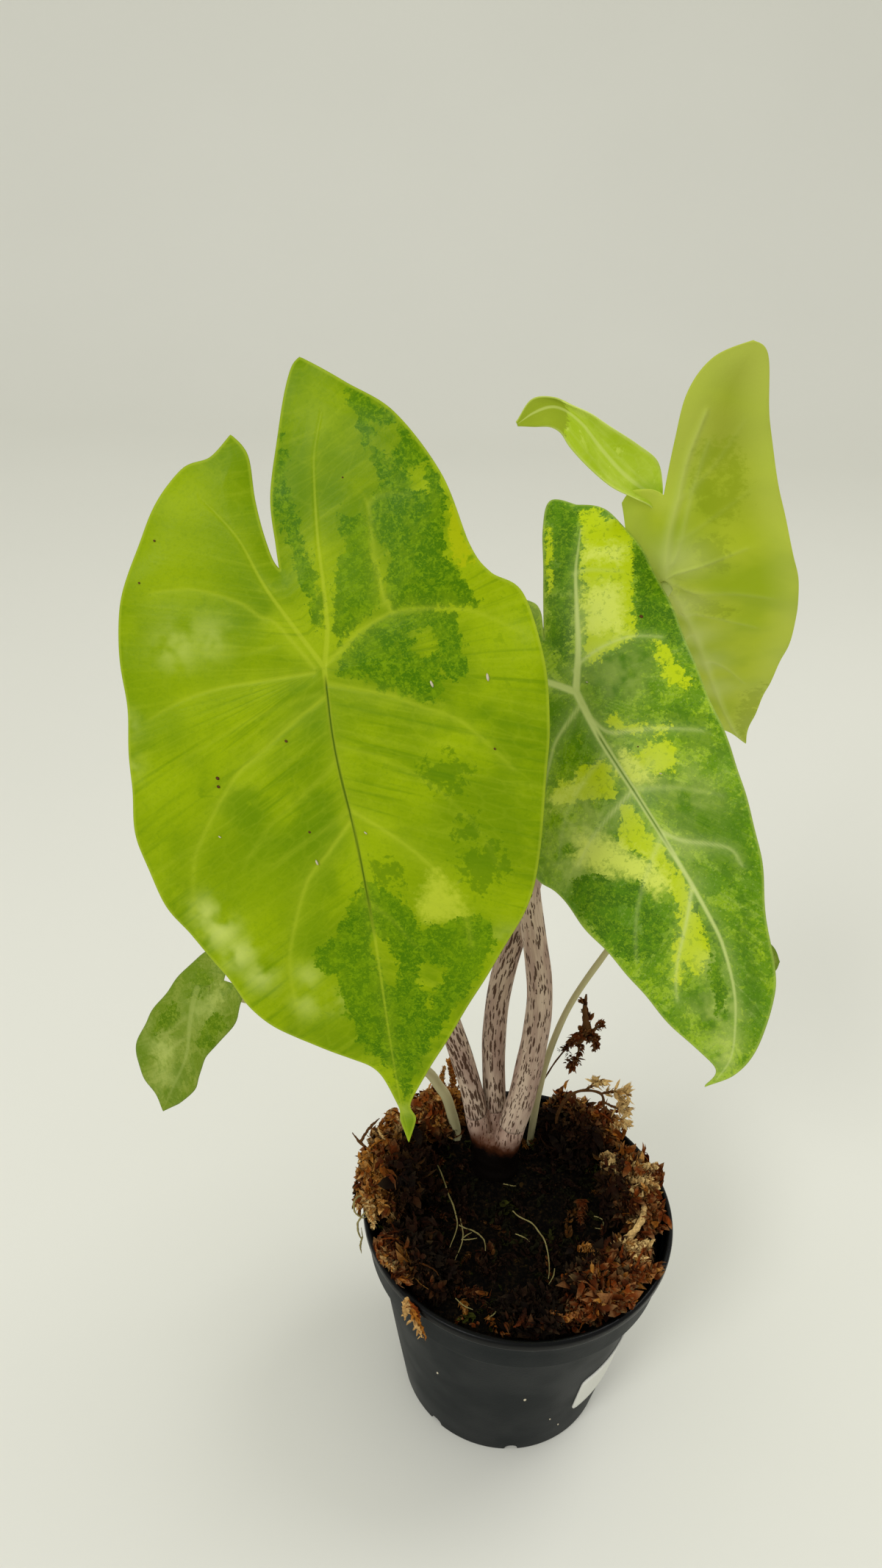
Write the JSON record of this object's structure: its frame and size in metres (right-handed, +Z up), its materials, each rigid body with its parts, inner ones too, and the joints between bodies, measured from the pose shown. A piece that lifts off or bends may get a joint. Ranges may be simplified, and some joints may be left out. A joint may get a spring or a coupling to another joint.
{
  "type": "potted alocasia longiloba plant",
  "caption": "Young aroid house plant with arrow-shaped, green and yellow marbled leaves on streaked stalks, growing in a small tapered nursery pot topped with moss.",
  "frame": {"origin": "on the pot's axis, at the underside of the pot's base, on the surface it stands on", "axes": "+Z up along the pot's axis, -Y towards the side that the large front leaf faces, +X to the right seen from there"},
  "size_m": [0.1696, 0.1415, 0.3136],
  "materials": {
    "pot": "charcoal-black moulded plastic, faint satin",
    "label": "plain white sticker",
    "soil": "moist dark peat",
    "stalk": "tan skin with dark brown streaks",
    "pale_stalk": "pale green-brown skin",
    "leaf": "glossy chartreuse blade with dark green marbling",
    "leaf_underside": "satin pale olive underside",
    "leaf_pale": "satin grey-green blade",
    "moss": "dried orange-brown moss",
    "pale_moss": "dried pale gold moss",
    "dry_moss": "dry dark brown fibre",
    "root": "pale thin root"
  },
  "bodies": {
    "root": {"pot": "pot", "pot_label": "label", "soil": "soil", "stem_base": "stalk", "stalk_front": "stalk", "stalk_upper": "stalk", "stalk_long": "stalk", "stalk_small": "pale_stalk", "stalk_hidden": "pale_stalk", "leaf_front": "leaf", "leaf_long": "leaf", "leaf_upper": "leaf_underside", "leaf_small": "leaf_pale", "leaf_hidden": "leaf_pale", "moss_left": "moss", "moss_front_left": "moss", "moss_back_left": "moss", "moss_back_right": "moss", "moss_right": "pale_moss", "moss_front_right": "moss", "moss_front": "moss", "moss_sprig": "dry_moss", "dry_tuft": "dry_moss", "root_left": "root", "root_centre": "root", "root_right": "root"}
  },
  "joints": []
}
